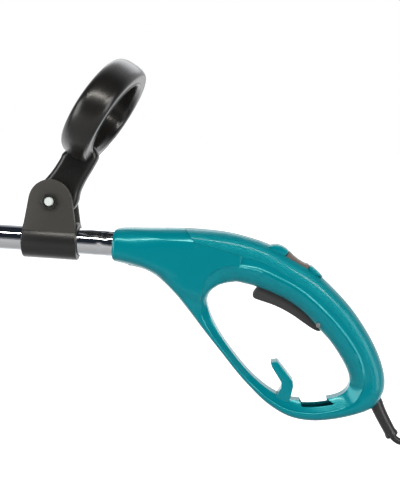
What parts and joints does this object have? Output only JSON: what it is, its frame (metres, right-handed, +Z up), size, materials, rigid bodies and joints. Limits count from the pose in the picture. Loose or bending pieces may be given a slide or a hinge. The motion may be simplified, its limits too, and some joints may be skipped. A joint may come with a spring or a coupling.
{
  "type": "string trimmer",
  "caption": "Corded electric string trimmer: D-shaped rear handle with trigger, adjustable loop handle, telescoping shaft, tilting motor head with guard and bump-feed spool",
  "frame": {"origin": "middle of the rear grip, on the plane where the two handle shells meet", "axes": "+X along the shaft from the cutting head to the rear handle, +Z up with the shaft level, +Y to the left of a person holding it and looking towards the head"},
  "size_m": [1.3064, 0.3152, 0.5683],
  "materials": {
    "teal_shell": "moulded teal plastic, satin gloss with fine texture bands",
    "black_loop": "smooth black moulded plastic",
    "black_plastic": "black moulded plastic, fine grain",
    "trigger_grey": "dark grey moulded plastic",
    "button_grey": "warm grey moulded plastic",
    "chromed_tube": "polished chrome plate",
    "lower_tube_paint": "black powder coat",
    "zinc_steel": "zinc plated",
    "dark_steel": "blackened steel",
    "lamination": "stacked steel laminations",
    "copper": "enamelled copper",
    "brass_tube": "brass, pins nickel plated",
    "carbon": "pressed carbon",
    "cord_rubber": "black cable sheath",
    "switch_black": "black moulded plastic",
    "spool_black": "black moulded nylon",
    "line_nylon": "orange monofilament"
  },
  "bodies": {
    "handle": {"handle_shell_right": "teal_shell", "handle_shell_left": "teal_shell", "handle_screws": "zinc_steel", "trigger_pin": "zinc_steel", "trigger_spring": "zinc_steel", "lock_off_spring": "zinc_steel", "switch_body": "switch_black", "cord_clamp": "switch_black", "cord_clamp_screws": "zinc_steel", "strain_relief": "cord_rubber", "cord": "cord_rubber", "plug_body": "cord_rubber", "plug_pins": "brass_tube", "switch_lead": "cord_rubber", "motor_lead": "cord_rubber", "coiled_lead": "cord_rubber", "upper_tube": "chromed_tube"},
    "trigger": {"trigger": "trigger_grey"},
    "switch_plunger": {"switch_plunger": "button_grey"},
    "lock_off": {"lock_off": "button_grey"},
    "bracket": {"clamp_bracket": "black_plastic", "pivot_nut": "dark_steel", "friction_washers": "black_plastic"},
    "clamp_knob": {"clamp_knob": "black_plastic", "pivot_bolt": "zinc_steel"},
    "loop": {"loop_handle": "black_loop"},
    "lower_shaft": {"lower_tube": "lower_tube_paint", "tube_collet": "black_plastic", "lower_lead": "cord_rubber", "head_fork": "black_plastic", "fork_screw": "zinc_steel", "tilt_nut": "dark_steel"},
    "lock_collar": {"lock_collar": "black_plastic"},
    "tilt_knob": {"tilt_bolt": "zinc_steel", "tilt_knob": "black_plastic"},
    "head": {"motor_housing_right": "teal_shell", "motor_housing_left": "teal_shell", "housing_screws": "zinc_steel", "stator_core": "lamination", "field_coils": "copper", "brush_holders": "brass_tube", "carbon_brushes": "carbon", "upper_bearing": "dark_steel", "lower_bearing": "dark_steel", "bearing_plate": "black_plastic", "guard": "black_plastic", "guard_screws": "zinc_steel", "line_cutter": "dark_steel", "cutter_screws": "zinc_steel"},
    "rotor": {"armature_shaft": "dark_steel", "armature_core": "lamination", "commutator": "copper", "fan": "black_plastic", "spool_carrier": "spool_black", "line_eyelets": "brass_tube", "bump_spring": "zinc_steel", "line_ends": "line_nylon"},
    "spool_unit": {"spool": "spool_black", "wound_line": "line_nylon", "bump_knob": "spool_black"}
  },
  "joints": [
    {"name": "bracket_slide", "type": "slide", "parent": "handle", "child": "bracket", "axis": [1, 0, 0], "range_m": [-0.06, 0.02]},
    {"name": "loop_tilt", "type": "hinge", "parent": "bracket", "child": "loop", "pos_m": [-0.2256, 0, 0.0606], "axis": [0, 1, 0], "range_deg": [-60, 40]},
    {"name": "clamp_knob_turn", "type": "hinge", "parent": "bracket", "child": "clamp_knob", "pos_m": [-0.2256, 0, 0.0606], "axis": [0, 1, 0], "range_deg": [0, 360]},
    {"name": "trigger_pull", "type": "hinge", "parent": "handle", "child": "trigger", "pos_m": [0.0175, 0, -0.0335], "axis": [0, 1, 0], "range_deg": [0, 7], "stiffness_Nm_per_rad": 0.6, "springref_deg": -11.46},
    {"name": "plunger_travel", "type": "slide", "parent": "handle", "child": "switch_plunger", "axis": [0, 0, 1], "range_m": [0, 0.0068]},
    {"name": "lock_off_press", "type": "slide", "parent": "handle", "child": "lock_off", "axis": [-0.5045, 0, -0.8634], "range_m": [0, 0.003], "stiffness_N_per_m": 400, "springref_m": -0.002},
    {"name": "shaft_slide", "type": "slide", "parent": "handle", "child": "lower_shaft", "axis": [1, 0, 0], "range_m": [0, 0.12]},
    {"name": "collar_twist", "type": "hinge", "parent": "lower_shaft", "child": "lock_collar", "pos_m": [-0.48, 0, 0.0252], "axis": [1, 0, 0], "range_deg": [0, 90]},
    {"name": "tilt_knob_turn", "type": "hinge", "parent": "lower_shaft", "child": "tilt_knob", "pos_m": [-1.01, 0, 0.0252], "axis": [0, 1, 0], "range_deg": [0, 360]},
    {"name": "head_tilt", "type": "hinge", "parent": "lower_shaft", "child": "head", "pos_m": [-1.01, 0, 0.0252], "axis": [0, 1, 0], "range_deg": [-20, 35]},
    {"name": "rotor_spin", "type": "hinge", "parent": "head", "child": "rotor", "pos_m": [-1.11959, 0, -0.11507], "axis": [0.6157, 0, 0.788], "continuous": true},
    {"name": "bump_feed", "type": "slide", "parent": "rotor", "child": "spool_unit", "axis": [0.6157, 0, 0.788], "range_m": [0, 0.005], "stiffness_N_per_m": 1200, "springref_m": -0.004}
  ],
  "couplings": [
    {"joint": "plunger_travel", "follows": "trigger_pull", "m_per_rad": 0.0535}
  ]
}
